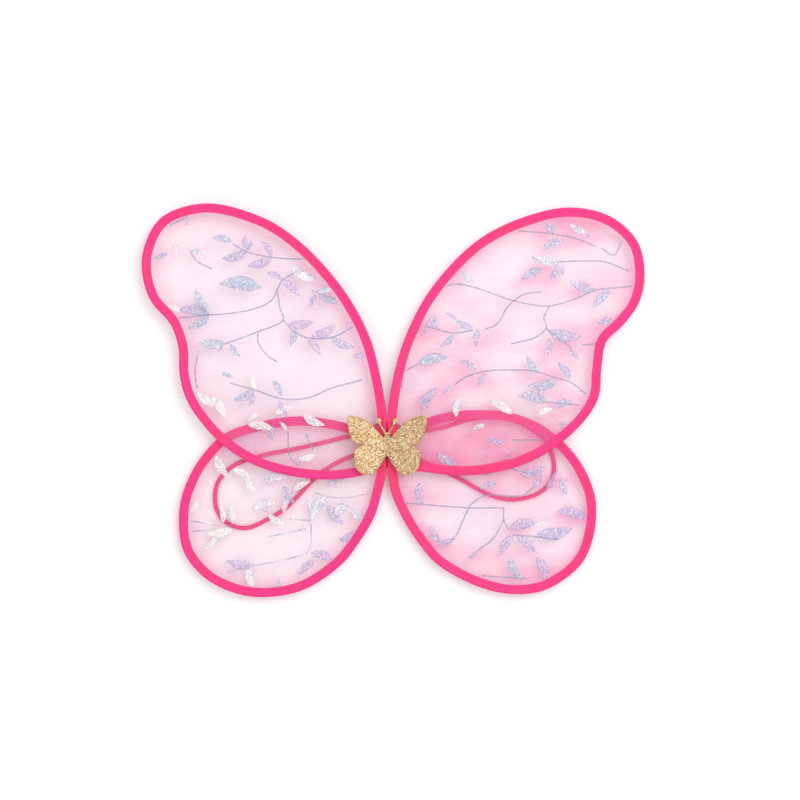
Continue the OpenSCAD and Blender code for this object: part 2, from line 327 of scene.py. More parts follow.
def leaf_foil():
    """Holographic foil print: a soft lilac to cyan fill with a grainy rim and white flecks that are painted
    glints, and plain grey-lilac to white stems. The weave attribute holds a point's tone, from lilac at 0 to
    cream at 1, how near the leaf's rim or midrib it is, and whether it is on a stem."""
    shader = Shader("leaf_foil", 0.32)
    place = shader.place()
    tone, rim, stem = shader.stored("weave")
    on_leaf = shader.maths("SUBTRACT", 1.0, stem)
    drift = shader.plus(tone, shader.span(shader.noise(place, 110.0, 3.0), 0.3, 0.7, -0.22, 0.22))
    base = shader.grade(
        drift, (0.0, rgb(216, 172, 224)), (0.3, rgb(190, 176, 220)), (0.5, rgb(164, 192, 214)),
        (0.72, rgb(212, 212, 226)), (1.0, rgb(252, 240, 234)))
    base = shader.mix(stem, base, shader.grade(tone, (0.52, rgb(170, 164, 196)), (0.9, rgb(250, 243, 246))))
    flake = shader.flakes(place, 1700.0)
    grain = shader.span(shader.noise(place, 420.0, 2.0), 0.35, 0.65, -0.1, 0.1)
    # White flecks on the leaves, more on pale ones: painted glints of the foil.
    chance = shader.plus(shader.span(tone, 0.4, 1.0, 0.9, 0.62), grain)
    painted_glints = shader.times(shader.maths("GREATER_THAN", flake[0], chance), on_leaf)
    dots = shader.maths("GREATER_THAN", flake[2], shader.span(rim, 0, 1, 0.95, 0.6))
    dots = shader.times(dots, on_leaf)
    dusky = shader.mix(shader.times(dots, 0.45), base, rgb(126, 130, 172))
    shader.set(Base_Color=shader.mix(shader.times(painted_glints, 0.85), dusky, rgb(255, 254, 255)))
    cover = shader.plus(shader.span(tone, 0.5, 1.0, 0.34, 0.46), grain)
    cover = shader.plus(cover, shader.times(stem, 0.1))
    cover = shader.plus(cover, shader.times(dots, 0.14), clamp=True)
    cover = shader.plus(cover, shader.times(painted_glints, 0.36), clamp=True)
    shader.set(Alpha=cover, Metallic=0.15)
    shader.bump(flake[1], 0.0001, 0.7)
    return shader.material


def gold_glitter():
    """Gold glitter sheet: packed flakes, each with its own tilt, and painted glints and shade that make each
    flake lighter or darker.
    """
    shader = Shader("gold_glitter", 0.34)
    place = shader.place()
    flake = shader.flakes(place, 1080.0)
    speck = shader.flakes(place, 2200.0)
    # How light each flake is: painted glints on the bright flakes and painted shade on the dark ones.
    value = shader.plus(shader.times(flake[0], 0.7), shader.times(speck[0], 0.3))
    gold = shader.grade(
        value, (0.06, rgb(112, 72, 38)), (0.3, rgb(170, 126, 78)), (0.52, rgb(200, 160, 112)),
        (0.74, rgb(230, 198, 154)), (0.9, rgb(255, 248, 228)))
    tint = shader.noise(place, 380.0, 2.0)
    gold = shader.mix(shader.span(tint, 0.52, 0.68, 0.0, 0.35), gold, rgb(202, 208, 140))
    gold = shader.mix(shader.span(tint, 0.45, 0.3, 0.0, 0.35), gold, rgb(246, 190, 140))
    shader.set(Base_Color=gold, Metallic=0.5)
    shader.set(Roughness=shader.span(speck[1], 0, 1, 0.2, 0.5))
    shader.bump(shader.plus(flake[1], speck[2]), 0.00016, 0.8)
    return shader.material


def cut_edge():
    """The foam core that shows along the glitter sheet's cut edge and on its back."""
    shader = Shader("cut_edge", 0.8)
    grain = shader.noise(shader.place(), 900.0, 3.0)
    shader.set(Base_Color=shader.grade(grain, (0.3, rgb(214, 160, 116)), (0.7, rgb(236, 190, 140))))
    shader.bump(grain, 0.0001, 0.6)
    return shader.material


# Radians that a braid strand turns in a millimetre of cord, and the strands each way.
BRAID_TURN = 4.2
BRAID_STRANDS = 4


def braided_elastic():
    """Round elastic in a braided pink sleeve. The weave attribute holds the millimetres along the
    cord and the strands' angle round it."""
    shader = Shader("braided_elastic", 0.55)
    along, around, _ = shader.stored("weave")
    turn = shader.times(along, BRAID_TURN)
    one = shader.maths("SINE", shader.plus(turn, around))
    two = shader.maths("SINE", shader.maths("SUBTRACT", turn, around))
    strand = shader.maths("MAXIMUM", one, two)
    fibre = shader.noise(shader.place(), 2400.0, 2.0)
    height = shader.plus(strand, shader.times(fibre, 0.4))
    # Lighter on the strands and darker where the braid dips between them: painted light and shade, with
    # random fibre tone.
    colour = shader.grade(
        shader.span(height, -0.2, 1.3),
        (0.05, rgb(196, 6, 76)), (0.5, rgb(240, 14, 100)), (0.95, rgb(252, 50, 128)))
    shader.set(Base_Color=colour, Sheen_Weight=0.3, Sheen_Tint=rgb(255, 180, 205))
    shader.bump(height, 0.00012, 0.7)
    return shader.material


def pressed_felt():
    """Deep pink felt with matted fibres and soft patches."""
    shader = Shader("pressed_felt", 0.9)
    place = shader.place()
    fibre = shader.noise(place, 1400.0, 6.0)
    patch = shader.noise(place, 160.0, 3.0)
    value = shader.plus(shader.times(fibre, 0.7), shader.times(patch, 0.3))
    colour = shader.grade(value, (0.3, rgb(226, 44, 92)), (0.5, rgb(244, 66, 116)), (0.7, rgb(252, 106, 148)))
    shader.set(Base_Color=colour, Sheen_Weight=0.6, Sheen_Roughness=0.6, Sheen_Tint=rgb(255, 150, 170))
    shader.bump(fibre, 0.0002, 0.7)
    return shader.material


def foam_cells():
    shader = Shader("foam_cells", 0.85)
    pore = shader.cells(shader.place(), 1300.0, "Distance")
    # Darker in each pore: painted shade in the pits.
    colour = shader.grade(pore, (0.1, rgb(206, 200, 196)), (0.5, rgb(244, 240, 236)))
    shader.set(Base_Color=colour)
    shader.bump(pore, 0.0002, 0.8)
    return shader.material


def galvanised_wire():
    shader = Shader("galvanised_wire", 0.35)
    place = shader.place()
    drawn = shader.noise(place, 900.0, 3.0)
    tone = shader.span(shader.plus(drawn, shader.flakes(place, 700.0)[0]), 0.3, 1.6)
    shader.set(Base_Color=shader.grade(tone, (0.1, rgb(150, 151, 156)), (0.9, rgb(206, 208, 212))))
    shader.set(Metallic=1.0, Roughness=shader.span(drawn, 0.3, 0.7, 0.28, 0.5))
    shader.bump(drawn, 0.00003, 0.5)
    return shader.material


def crimped_sleeve():
    shader = Shader("crimped_sleeve", 0.3)
    streak = shader.noise(shader.stretched(shader.place(), 3000.0, 120.0, 3000.0), 1.0, 3.0)
    shader.set(Base_Color=shader.grade(streak, (0.3, rgb(172, 173, 176)), (0.7, rgb(224, 225, 228))))
    shader.set(Metallic=1.0, Roughness=shader.span(streak, 0.3, 0.7, 0.22, 0.42))
    shader.bump(streak, 0.00003, 0.4)
    return shader.material


def hot_glue():
    shader = Shader("hot_glue", 0.25)
    cloud = shader.noise(shader.place(), 500.0, 3.0)
    shader.set(Base_Color=shader.grade(cloud, (0.3, rgb(226, 216, 190)), (0.7, rgb(246, 240, 222))))
    shader.set(Coat_Weight=0.3)
    shader.bump(cloud, 0.0001, 0.5)
    return shader.material


# ------------------------------------------------------------------- meshes
def between(p, q, start, stop, t):
    """The point at t on the straight way from p at start to q at stop."""
    return ((stop - t) * p + (t - start) * q) / (stop - start)


def smooth_line(points, step):
    """A smooth curve through the points, sampled every step or so. The first and last points
    only guide it."""
    points = [np.array(p, float) for p in points]
    line = []
    for a, b, c, d in zip(points, points[1:], points[2:], points[3:]):
        knots = np.cumsum([0] + [np.linalg.norm(q - p) ** 0.5 for p, q in ((a, b), (b, c), (c, d))])
        count = max(2, math.ceil(np.linalg.norm(c - b) / step))
        for t in knots[1] + (knots[2] - knots[1]) * np.arange(count) / count:
            ab = between(a, b, knots[0], knots[1], t)
            bc = between(b, c, knots[1], knots[2], t)
            cd = between(c, d, knots[2], knots[3], t)
            abc = between(ab, bc, knots[0], knots[2], t)
            bcd = between(bc, cd, knots[1], knots[3], t)
            line.append(between(abc, bcd, knots[1], knots[2], t))
    line.append(points[-2])
    return np.array(line)


def led(points):
    """The points with one more straight on at each end, to guide a smooth line through them all."""
    return [2 * points[0] - points[1], *points, 2 * points[-1] - points[-2]]


def wave(*place):
    """Smooth noise from -1 to 1 at a place given by three numbers."""
    return noise.noise(Vector(place))


def headings(line):
    """The direction of the line at each of its points."""
    ahead = np.vstack([line[1:], line[-1:]]) - np.vstack([line[:1], line[:-1]])
    return ahead / np.linalg.norm(ahead, axis=1, keepdims=True)


def distances(line):
    """How far along the line each of its points is."""
    return np.concatenate([[0], np.cumsum(np.linalg.norm(np.diff(line, axis=0), axis=1))])


def aside(line, gap):
    """The line moved sideways in plan: a positive gap is to its left. The gap may be a row of gaps."""
    way = headings(line)
    moved = line.copy()
    moved[:, 0] -= gap * way[:, 1]
    moved[:, 1] += gap * way[:, 0]
    return moved


def quads(rows, count, closed=True, flip=False):
    """Faces between rows of count points each, which go round a ring where closed."""
    faces = []
    for i in range(rows - 1):
        for j in range(count if closed else count - 1):
            a, b = i * count + j, i * count + (j + 1) % count
            faces.append((a, a + count, b + count, b) if flip else (a, b, b + count, a + count))
    return faces


def sweep(line, section):
    """Points, faces and weave coordinates of a closed solid along the line. section(i) gives its
    outline there as rows of (left, up)."""
    way = headings(line)
    left = np.cross([0, 0, 1], way)
    left /= np.linalg.norm(left, axis=1, keepdims=True)
    up = np.cross(way, left)
    along = distances(line) / MM
    points, weave = [], []
    for i in range(len(line)):
        shape = np.array(section(i), float)
        points.extend(line[i] + shape[:, :1] * left[i] + shape[:, 1:] * up[i])
        weave.extend((along[i], around, 0) for around in distances(shape) / MM)
    count = len(shape)
    faces = quads(len(line), count)
    last = (len(line) - 1) * count
    faces.append(tuple(range(count - 1, -1, -1)))
    faces.append(tuple(last + j for j in range(count)))
    return np.array(points), faces, np.array(weave)


def joined(parts):
    """Several (points, faces, weave) in one."""
    points, faces, weave = [], [], []
    for more_points, more_faces, more_weave in parts:
        base = sum(len(p) for p in points)
        points.append(more_points)
        weave.append(more_weave)
        faces.extend(tuple(base + v for v in f) for f in more_faces)
    return np.vstack(points), faces, np.vstack(weave)


def piece(name, shape, material, body, slot):
    """A new smooth mesh object that rides on the body, where one is named."""
    points, faces, weave = shape
    mesh = bpy.data.meshes.new(name)
    mesh.from_pydata([tuple(p) for p in points], [], faces)
    mesh.polygons.foreach_set("use_smooth", [True] * len(faces))
    store(mesh, "weave", weave)
    mesh.materials.append(material)
    obj = bpy.data.objects.new(name, mesh)
    bpy.context.scene.collection.objects.link(obj)
    if body:
        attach(obj, body)
    return obj


def store(mesh, name, values):
    """Keeps three numbers for each point of the mesh, for a material to read."""
    layer = mesh.attributes.new(name, "FLOAT_VECTOR", "POINT")
    layer.data.foreach_set("vector", np.ravel(values).astype(float))


def middle_height(node):
    """Height of the middle of a CAD node."""
    low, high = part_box(node)
    return (low[2] + high[2]) / 2


def signed_area(ring):
    """The ring's area, which is negative where it runs clockwise."""
    x, y = ring[:, 0], ring[:, 1]
    return 0.5 * np.sum(x * np.roll(y, -1) - y * np.roll(x, -1))


def outline(node):
    """The edge of a flat CAD node from above, anticlockwise, starting after its straight root."""
    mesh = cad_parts[node].data
    top = max(v.co.z for v in mesh.vertices)
    place = lambda i: (round(mesh.vertices[i].co.x, 6), round(mesh.vertices[i].co.y, 6))
    ways = {}
    for face in mesh.polygons:
        if all(mesh.vertices[i].co.z > top - 1e-6 for i in face.vertices):
            ring = [place(i) for i in face.vertices]
            for a, b in zip(ring, ring[1:] + ring[:1]):
                if ways.get(b, set()) and a in ways[b]:
                    ways[b].discard(a)
                else:
                    ways.setdefault(a, set()).add(b)
    ways = {a: next(iter(b)) for a, b in ways.items() if b}
    start = next(iter(ways))
    ring = [start]
    while ways[ring[-1]] != start:
        ring.append(ways[ring[-1]])
    ring = np.array(ring)
    if signed_area(ring) < 0:
        ring = ring[::-1]
    gaps = np.linalg.norm(np.roll(ring, -1, axis=0) - ring, axis=1)
    return np.roll(ring, -(int(np.argmax(gaps)) + 1), axis=0)


def inside(ring, x, y):
    """Whether each point lies inside the ring."""
    hit = np.zeros(np.shape(x), bool)
    for (ax, ay), (bx, by) in zip(ring, np.roll(ring, -1, axis=0)):
        if ay == by:
            continue
        crosses = ((ay > y) != (by > y)) & (x < (bx - ax) * (y - ay) / (by - ay) + ax)
        hit ^= crosses
    return hit


def edge_distance(ring, x, y):
    """How far each point is from the ring."""
    best = np.full(np.shape(x), 1e9)
    for a, b in zip(ring, np.roll(ring, -1, axis=0)):
        side = b - a
        share = np.clip(((x - a[0]) * side[0] + (y - a[1]) * side[1]) / (side @ side), 0, 1)
        best = np.minimum(best, np.hypot(x - a[0] - share * side[0], y - a[1] - share * side[1]))
    return best


def filled(ring, spacing):
    """Points and triangles that fill the ring evenly."""
    low, high = ring.min(axis=0), ring.max(axis=0)
    grid = []
    for row, y in enumerate(np.arange(low[1], high[1], spacing * 0.866)):
        for x in np.arange(low[0] + (row % 2) * spacing / 2, high[0], spacing):
            grid.append((x, y))
    grid = np.array(grid)
    keep = inside(ring, grid[:, 0], grid[:, 1])
    keep &= edge_distance(ring, grid[:, 0], grid[:, 1]) > spacing * 0.5
    points = [Vector(p) for p in np.vstack([ring, grid[keep]])]
    edges = [(i, (i + 1) % len(ring)) for i in range(len(ring))]
    made, _, faces, _, _, _ = delaunay_2d_cdt(points, edges, [], 1, 1e-7)
    return np.array([tuple(p) for p in made]), [tuple(f) for f in faces]


def ripple(x, y, scale, seed):
    """Smooth noise from -1 to 1 over the plane, with this many waves to the metre."""
    return np.array([wave(a * scale, b * scale, seed) for a, b in zip(x, y)])


# -------------------------------------------------------------------- tapes
PANEL_EDGE = 2.4 * MM
TAPE_INNER = 7.62 * MM
STITCH_LINE = 6.2 * MM
STITCH_LONG = 2.3 * MM
STITCH_GAP = 0.8 * MM

# A stitch's points: shares of its length, and their height above its middle.
STITCH_SHARES = np.array([0, 0.12, 0.3, 0.5, 0.7, 0.88, 1.0])
STITCH_RISE = np.array([-0.12, 0.06, 0.13, 0.15, 0.13, 0.06, -0.12]) * MM
STITCH_LEVEL = 0.62 * MM

# One side of the tape's section, from its sewn edge to the fold: (from the wire inwards, up).
TAPE_SIDE = (
    (7.62, 0.2), (7.6, 0.5), (7.42, 0.66), (6.9, 0.76), (6.45, 0.66), (6.2, 0.6), (5.95, 0.66), (5.4, 0.8),
    (4.2, 0.86), (3.0, 0.95), (2.2, 1.12), (1.4, 1.42), (0.6, 1.6), (-0.3, 1.6), (-1.0, 1.28), (-1.48, 0.72),
)


def wing_level(wing):
    """Height of the middle of a wing's cloth."""
    return middle_height(wing + "_panel")


def wire_line(wing):
    """The line along a wing's wire where the tape covers it."""
    line = outline(wing + "_panel")
    line = aside(smooth_line(led(line), 2.2 * MM), -PANEL_EDGE)
    return np.column_stack([line, np.full(len(line), wing_level(wing))])


def body_of(wing):
    return wing + "_wing"


def tape(wing, material):
    """Folded binding with its fold round the wire and faint puckers. Gives the wire's line."""
    line = wire_line(wing)
    along = distances(line)
    half = np.array(TAPE_SIDE) * MM
    shape = np.vstack([half, [[-1.62 * MM, 0]], half[::-1] * (1, -1)])
    sewn = np.clip(shape[:, 0] / TAPE_INNER, 0, 1) ** 2

    def section(i):
        seat = along[i] / MM
        pucker = wave(seat / 5.0, 0, 3) * 0.13 * MM
        sway = wave(seat / 21.0, 7, 0) * 0.28 * MM
        here = shape.copy()
        here[:, 1] += pucker * sewn * np.sign(shape[:, 1])
        here[:, 0] += sway * sewn
        return here

    obj = piece(wing + "_tape", sweep(line, section), material, body_of(wing), "binding_tape")
    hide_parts(wing + "_binding")
    return line


def oval(wide, high, sides=6):
    """The points of an oval section that reaches this wide and this high from its middle."""
    return [(wide * math.cos(a), high * math.sin(a)) for a in np.arange(sides) * 2 * math.pi / sides]


def stitches(wing, line, material):
    """A running stitch near the tape's inner edge, on its front and back."""
    seam = aside(line, STITCH_LINE)
    along = distances(seam)
    pitch = STITCH_LONG + STITCH_GAP
    count = int(along[-1] / pitch) - 1
    parts = []
    for k in range(count):
        start = (k + 0.5) * pitch
        shift = wave(k * 0.7, 0, 11) * 0.12 * MM
        for side in (1, -1):
            at = start + (0 if side > 0 else pitch / 2) + STITCH_LONG * STITCH_SHARES
            run = np.column_stack([np.interp(at, along, seam[:, axis]) for axis in range(3)])
            run = aside(run, shift)
            run[:, 2] += side * (STITCH_LEVEL + STITCH_RISE)
            parts.append(sweep(run, lambda i: oval(0.2 * MM, 0.16 * MM)))
    piece(wing + "_stitches", joined(parts), material, body_of(wing), "binding_tape")


# ------------------------------------------------------------------- panels
CLOTH_SPACING = 3.2 * MM
EDGE_PINK_START = 5 * MM
EDGE_PINK_REACH = 16 * MM


def gather(wing, x, y, away):
    """Height of the cloth's creases: fine gathers along the tape, and soft folds that run out
    from the root."""
    seed = WINGS.index(wing) * 10.0
    out = np.clip(away / (14 * MM), 0, 1)
    ease = out * out * (3 - 2 * out)
    angle = np.arctan2(y, np.abs(x))
    reach = np.hypot(x, y)
    fold = ripple(angle * 2.4, reach * 2.0, 1.6, seed + 1) * np.clip(reach / 0.09, 0.25, 1)
    billow = ripple(x, y, 13.0, seed + 2)
    crease = ripple(x * 1.6, y, 52.0, seed + 3)
    hem = ripple(x, y, 120.0, seed + 4) * np.clip(1 - away / (22 * MM), 0, 1)
    hem *= np.clip(away / (5 * MM), 0, 1)
    return (0.9 * fold + 0.75 * billow + 0.28 * crease) * ease * MM + 0.4 * hem * MM


def panel(wing, material):
    """The sheer cloth of one wing, held by its tape all round: the piece, its flat size and area."""
    line = smooth_line(led(outline(wing + "_panel")), CLOTH_SPACING)
    flat, faces = filled(line, CLOTH_SPACING)
    x, y = flat[:, 0], flat[:, 1]
    away = edge_distance(line, x, y)
    level = wing_level(wing)
    points = np.column_stack([x, y, level + gather(wing, x, y, away)])
    weave = np.column_stack([x / MM, y / MM, np.zeros(len(x))])
    obj = piece(wing + "_cloth", (points, faces, weave), material, body_of(wing), "sheer")
    # The edge share makes the cloth denser near the tape and pinker there, the pink being painted shade and
    # pink reflected from the tape.
    drift = 1 + 0.35 * ripple(x, y, 34.0, 5.0)
    edge = np.clip(1 - (away - EDGE_PINK_START) / (EDGE_PINK_REACH * drift), 0, 1) ** 1.5
    cover = np.column_stack([edge, blush_share(wing, x, y), painted_overlap_share(wing, x, y)])
    store(obj.data, "cover", cover)
    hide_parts(wing + "_panel")
    size = line.max(axis=0) - line.min(axis=0)
    return obj, size, abs(signed_area(line))


# Pink in the cloth: round the leaves of a wing, all over a side, and where a side's wings overlap.
# The overlap pink is painted shade and pink light bounced between the two sheets.
# BLUSH_REACH is how far the pink round a leaf spreads across and up.
BLUSH = {"upper_left": 0.35, "lower_left": 0.25, "upper_right": 1.0, "lower_right": 0.8}
BLUSH_BASE = {"left": 0.0, "right": 0.42}
BLUSH_REACH = (19 * MM, 10 * MM)
PAINTED_OVERLAP = {"left": 0.0, "right": 0.6}
PAINTED_OVERLAP_FADE = 9 * MM


def blush_share(wing, x, y):
    """The side's pink, with a pinker haze round the leaves."""
    haze = np.zeros(len(x))
    for leaf_x, leaf_y, turn, length, _ in LEAVES[wing]:
        across = (x - (leaf_x + math.cos(math.radians(turn)) * length / 2) * MM) / BLUSH_REACH[0]
        up = (y - (leaf_y + math.sin(math.radians(turn)) * length / 2) * MM) / BLUSH_REACH[1]
        haze += 0.6 * np.exp(-across ** 2 - up ** 2)
    return BLUSH_BASE[wing.split("_")[1]] + BLUSH[wing] * np.clip(haze, 0, 1)


def painted_overlap_share(wing, x, y):
    """How far a wing lies over or under the other wing of its side, fading out at that one's tape.
    This share sets the painted shade and bounced pink there.
    """
    level, side = wing.split("_")
    other = ("lower_" if level == "upper" else "upper_") + side
    ring = outline(other + "_panel")
    depth = np.where(inside(ring, x, y), edge_distance(ring, x, y), 0)
    return PAINTED_OVERLAP[side] * np.clip(depth / PAINTED_OVERLAP_FADE, 0, 1)


# -------------------------------------------------------------- foil leaves
# The printed vines, in millimetres in the part's frame. A stem is a list of points; a leaf is
# (x, y, direction in degrees, length, tone), where tone runs from lilac at 0 to cream at 1.
STEMS = {
    "upper_left": (
        ((-154, 201), (-140, 193), (-117, 188), (-90, 186), (-80, 187)),
        ((-197, 194), (-190, 184), (-175, 176)),
        ((-105, 165), (-110, 155), (-115, 145), (-130, 137), (-154, 132), (-177, 130), (-208, 127)),
        ((-110, 155), (-107, 137), (-104, 125), (-130, 113), (-157, 103), (-167, 100)),
        ((-104, 125), (-92, 113), (-79, 107), (-54, 108), (-34, 118)),
        ((-129, 113), (-129, 103), (-120, 90), (-110, 83)),
        ((-105, 165), (-92, 172), (-84, 174)),
        ((-69, 152), (-52, 146)),
        ((-157, 62), (-132, 55), (-104, 46), (-80, 47), (-55, 57), (-25, 65)),
        ((-190, 87), (-192, 72), (-190, 57)),
        ((-99, 13), (-97, -12), (-89, -20)),
        ((-81, 11), (-74, -5)),
        ((-217, 220), (-199, 228)),
    ),
    "upper_right": (
        ((131, 214), (159, 212), (187, 207), (208, 199)),
        ((214, 197), (227, 190), (235, 205)),
        ((145, 188), (156, 183), (169, 183), (194, 184), (218, 183), (242, 174)),
        ((247, 159), (227, 157), (209, 155), (188, 146), (162, 139), (142, 141), (124, 145), (107, 151),
         (86, 158), (69, 161), (58, 159)),
        ((154, 153), (138, 151), (128, 145), (119, 136), (114, 126), (107, 119), (98, 116)),
        ((86, 115), (67, 112), (38, 119)),
        ((162, 138), (157, 127), (159, 117), (149, 108), (124, 101)),
        ((159, 117), (172, 106), (183, 98), (187, 90)),
        ((31, 81), (17, 72), (15, 57)),
        ((67, 60), (79, 68), (100, 74), (124, 75), (147, 74), (166, 68), (183, 63), (199, 51)),
        ((159, 43), (192, 40)),
        ((125, 5), (156, 5)),
        ((195, 100), (208, 101)),
    ),
    "lower_left": (
        ((-73, -48), (-51, -53), (-16, -49)),
        ((-76, -76), (-98, -74)),
        ((-76, -78), (-79, -106), (-98, -114), (-134, -121)),
        ((-119, -92), (-81, -84)),
        ((-111, -121), (-108, -139)),
        ((-197, -76), (-154, -84)),
        ((-197, -87), (-172, -84)),
        ((-126, -64), (-111, -73)),
        ((-160, -128), (-140, -122)),
    ),
    "lower_right": (
        ((16, -58), (53, -61), (82, -63), (117, -63)),
        ((82, -63), (75, -78), (69, -91), (58, -101)),
        ((82, -61), (98, -51), (134, -51), (147, -43)),
        ((117, -63), (117, -75), (122, -85)),
        ((117, -75), (107, -93), (91, -106)),
        ((126, -90), (150, -92), (171, -94)),
        ((95, -131), (142, -134)),
        ((90, -30), (110, -22), (140, -28)),
    ),
}

LEAVES = {
    "upper_left": (
        (-155, 203, 168, 20, 0.45), (-140, 194, 96, 17, 0.2), (-139, 195, 72, 11, 0.2),
        (-140, 193, 195, 26, 0.3), (-115, 189, 126, 18, 0.2), (-115, 187, 198, 26, 0.15),
        (-105, 166, 158, 17, 0.15), (-105, 165, 317, 24, 0.1), (-96, 178, 331, 27, 0.95),
        (-82, 170, 330, 14, 0.5), (-126, 157, 174, 42, 0.45), (-178, 131, 119, 28, 0.5),
        (-178, 131, 172, 31, 0.35), (-178, 131, 215, 25, 0.4), (-207, 134, 160, 16, 0.95),
        (-197, 194, 350, 14, 0.7), (-233, 187, 22, 15, 0.35), (-210, 190, 100, 12, 0.9),
        (-207, 197, 60, 8, 0.9), (-200, 219, 80, 8, 0.25), (-69, 151, 238, 16, 0.15),
        (-69, 152, 14, 16, 0.8), (-69, 152, 335, 22, 0.4), (-70, 153, 160, 8, 0.4),
        (-99, 121, 5, 26, 0.1), (-92, 117, 255, 19, 0.4), (-76, 107, 28, 28, 0.1),
        (-79, 105, 310, 20, 0.15), (-56, 107, 338, 25, 0.3), (-40, 112, 70, 14, 0.15),
        (-34, 88, 20, 16, 0.2), (-162, 102, 178, 27, 0.55), (-157, 101, 310, 16, 0.5),
        (-164, 101, 240, 10, 0.3), (-190, 87, 80, 8, 0.4), (-167, 71, 344, 14, 0.45),
        (-134, 71, 280, 17, 1.0), (-132, 55, 205, 24, 0.35), (-105, 49, 122, 19, 0.4),
        (-133, 52, 250, 14, 0.3), (-190, 54, 320, 24, 0.95), (-176, 48, 305, 26, 1.0),
        (-108, 44, 300, 16, 0.25), (-112, 31, 20, 20, 1.0), (-84, 30, 335, 24, 0.95),
        (-139, 20, 350, 26, 0.95), (-89, -14, 15, 20, 0.9), (-116, 4, 80, 16, 0.3),
        (-100, 14, 130, 12, 0.8), (-140, 24, 30, 14, 0.9),
    ),
    "upper_right": (
        (176, 205, 205, 23, 0.45), (166, 212, 129, 12, 0.3), (170, 214, 150, 12, 0.35),
        (199, 212, 151, 19, 0.8), (196, 207, 40, 10, 0.3), (171, 183, 168, 24, 0.8),
        (156, 176, 206, 24, 0.4), (171, 182, 247, 19, 0.4), (176, 181, 270, 12, 0.35),
        (209, 155, 161, 28, 0.35), (223, 155, 228, 24, 0.35), (86, 162, 131, 17, 0.6),
        (91, 116, 265, 18, 0.3), (86, 117, 154, 20, 0.3), (69, 126, 150, 12, 0.3),
        (67, 111, 223, 19, 0.4), (48, 129, 280, 14, 0.45), (44, 128, 250, 18, 0.1),
        (161, 114, 350, 35, 0.35), (162, 106, 265, 16, 0.4), (183, 98, 305, 15, 0.3),
        (211, 122, 5, 17, 0.3), (216, 124, 60, 8, 0.25), (31, 81, 13, 31, 0.45),
        (90, 74, 149, 20, 0.3), (97, 72, 245, 15, 0.4), (65, 59, 220, 12, 0.4),
        (152, 72, 125, 21, 0.45), (183, 66, 128, 21, 0.35), (170, 64, 190, 30, 0.4),
        (159, 43, 166, 29, 0.35), (158, 44, 130, 12, 0.3), (185, 44, 200, 20, 0.3),
        (43, 47, 230, 16, 0.3), (31, 42, 40, 24, 0.25), (69, 28, 80, 20, 0.8),
        (125, 31, 150, 26, 0.8), (150, 30, 20, 18, 0.8), (171, 22, 345, 26, 0.2),
        (118, 4, 175, 20, 0.2), (50, -8, 330, 24, 0.25), (192, 37, 320, 18, 0.3),
        (98, 20, 200, 14, 0.8),
    ),
    "lower_left": (
        (-172, -10, 300, 26, 0.85), (-155, -24, 330, 22, 0.95), (-142, -30, 300, 22, 0.9),
        (-124, -36, 10, 26, 0.8), (-104, -40, 300, 22, 0.3), (-94, -46, 30, 20, 0.9),
        (-76, -68, 100, 18, 0.7), (-76, -76, 60, 30, 0.8), (-60, -60, 310, 26, 0.3),
        (-56, -74, 40, 26, 0.75), (-36, -64, 320, 26, 0.7), (-134, -64, 15, 24, 0.85),
        (-119, -70, 330, 20, 0.95), (-134, -121, 170, 28, 0.2), (-140, -124, 290, 22, 0.9),
        (-76, -108, 340, 26, 0.05), (-72, -116, 220, 22, 0.2), (-154, -84, 190, 28, 1.0),
        (-164, -78, 100, 18, 0.95), (-170, -90, 230, 20, 0.85), (-197, -68, 60, 16, 0.9),
        (-108, -136, 250, 14, 0.6), (-48, -96, 30, 20, 0.3), (-158, -60, 280, 20, 0.9),
        (-98, -52, 250, 18, 0.7), (-60, -40, 20, 18, 0.5),
    ),
    "lower_right": (
        (32, -38, 280, 24, 0.25), (53, -98, 120, 20, 0.15), (50, -100, 20, 20, 0.15),
        (122, -85, 15, 30, 0.2), (126, -90, 240, 24, 0.25), (130, -92, 320, 26, 0.15),
        (150, -90, 10, 36, 0.3), (171, -66, 345, 32, 0.2), (122, -113, 300, 26, 0.45),
        (150, -112, 290, 28, 0.2), (134, -30, 20, 26, 0.25), (95, -30, 20, 22, 0.25),
        (160, -44, 60, 22, 0.25), (180, -50, 110, 18, 0.25), (147, -43, 60, 16, 0.3),
        (91, -106, 220, 12, 0.3), (110, -38, 200, 18, 0.35), (118, -20, 60, 16, 0.3),
    ),
}
STEM_TONE = {"upper_left": 0.42, "lower_left": 0.7, "upper_right": 0.42, "lower_right": 0.45}
LEAF_LIFT = 0.22 * MM
FOIL_THICK = 0.1 * MM
FOIL_MARGIN = 5.4 * MM


def leaf(x, y, turn, length, shade, seed):
    """A pointed leaf with a folded midrib and a ragged edge: points, faces and (tone, rim, stem)."""
    stations, rows = 13, 9
    width = length * (0.34 + 0.1 * wave(seed, 1, 0))
    way = Vector((math.cos(math.radians(turn)), math.sin(math.radians(turn))))
    side = Vector((-way.y, way.x))
    points, data = [], []
    for i in range(stations):
        t = i / (stations - 1)
        half = width / 2 * math.sin(math.pi * t ** 0.85) ** 0.8 + 0.12
        bow = 0.07 * length * math.sin(math.pi * t) * (1 if seed % 2 else -1)
        for j in range(rows):
            u = 2 * j / (rows - 1) - 1
            ragged = 1 + 0.22 * wave(i * 1.7, j + seed, 5) * abs(u)
            flat = Vector((x, y)) + way * t * length + side * (u * half * ragged + bow)
            points.append((flat.x * MM, flat.y * MM, (0.14 * (1 - u * u) - 0.1 * (abs(u) < 0.1)) * MM))
            rim = max(abs(u) ** 4, 1 - 6 * abs(u), 1 - 9 * min(t, 1 - t))
            data.append((shade, min(1, max(0, rim)), 0))
    return np.array(points), quads(stations, rows, closed=False, flip=True), np.array(data)


